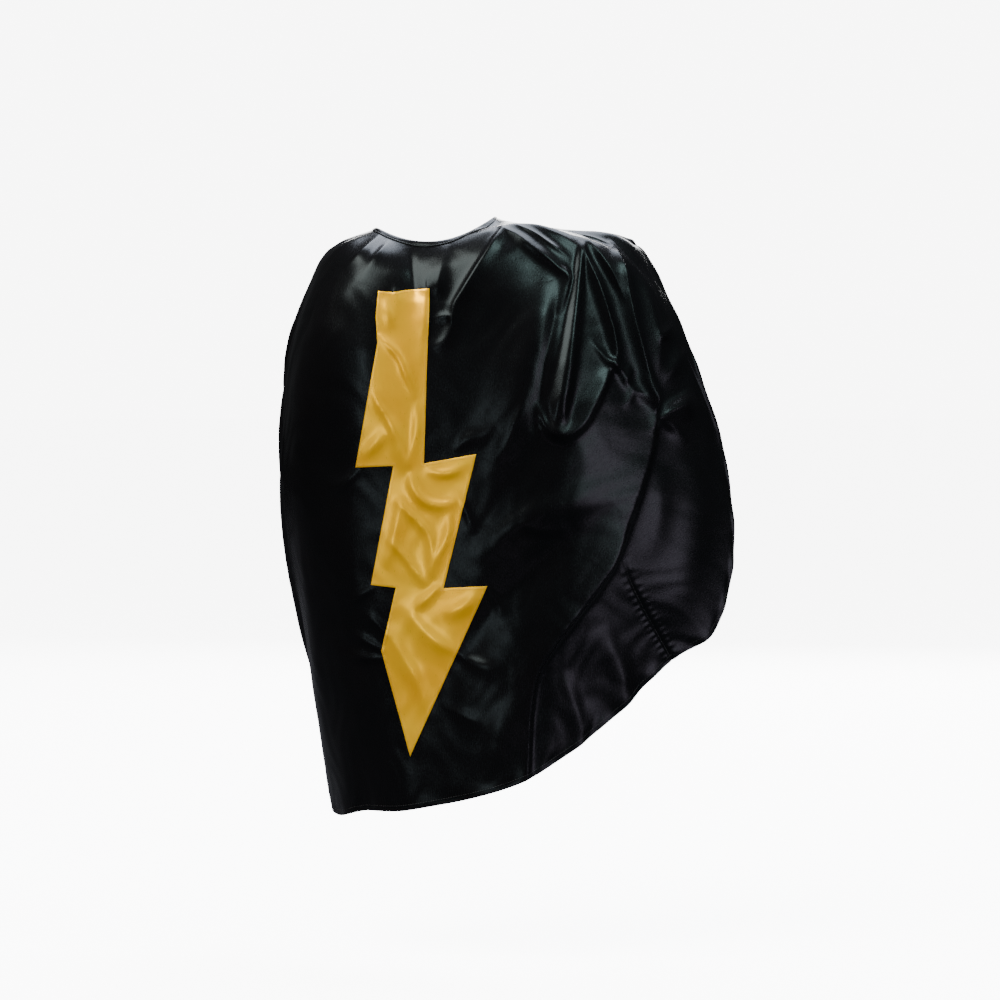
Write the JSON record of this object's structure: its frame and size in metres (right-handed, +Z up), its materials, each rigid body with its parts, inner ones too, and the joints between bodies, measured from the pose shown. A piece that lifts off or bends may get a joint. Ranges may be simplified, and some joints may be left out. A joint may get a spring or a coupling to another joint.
{
  "type": "superhero cape",
  "caption": "Child's black satin superhero cape with a yellow lightning bolt sewn on the back and a hook-and-loop neck closure, draped as worn.",
  "frame": {"origin": "centre of the neck opening of the cape as worn", "axes": "+Z up, +Y the way the wearer faces, so the back with the bolt looks towards -Y, +X towards the wearer's raised right arm"},
  "size_m": [0.5444, 0.2662, 0.7108],
  "materials": {
    "black_satin": "black polyester satin with a soft sheen",
    "black_lining": "black polyester lining, less shiny than the shell",
    "yellow_satin": "golden yellow polyester satin",
    "black_thread": "black polyester sewing thread",
    "yellow_thread": "yellow polyester sewing thread",
    "interfacing": "thin white non-woven interfacing",
    "fusible_web": "thin white fusible web",
    "hook_nylon": "black nylon hook tape",
    "loop_nylon": "black nylon loop tape, fuzzy",
    "label_tape": "white polyester label tape with nothing printed on it"
  },
  "bodies": {
    "cape": {"shell_back_panel": "black_satin", "shell_left_side_panel": "black_satin", "shell_right_side_panel": "black_satin", "lining_back_panel": "black_lining", "lining_left_side_panel": "black_lining", "lining_right_side_panel": "black_lining", "left_seam_thread": "black_thread", "right_seam_thread": "black_thread", "edge_topstitch": "black_thread", "neck_interfacing": "interfacing", "neck_binding": "black_satin", "bolt_fusible_web": "fusible_web", "lightning_bolt": "yellow_satin", "bolt_stitching": "yellow_thread", "under_tab": "black_satin", "loop_strip": "loop_nylon", "loop_strip_stitching": "black_thread"},
    "closure_flap": {"closure_tab": "black_satin", "hook_strip": "hook_nylon", "hook_strip_stitching": "black_thread"},
    "label": {"care_label": "label_tape"}
  },
  "joints": [
    {"name": "closure_peel", "type": "hinge", "parent": "cape", "child": "closure_flap", "pos_m": [0.0478, 0.0388, -0.0098], "axis": [0.4091, 0.402, -0.8192], "range_deg": [0, 110]},
    {"name": "label_flip", "type": "hinge", "parent": "cape", "child": "label", "pos_m": [-0.0227, -0.0498, -0.0195], "axis": [0.9681, -0.2504, 0], "range_deg": [0, 120]}
  ]
}
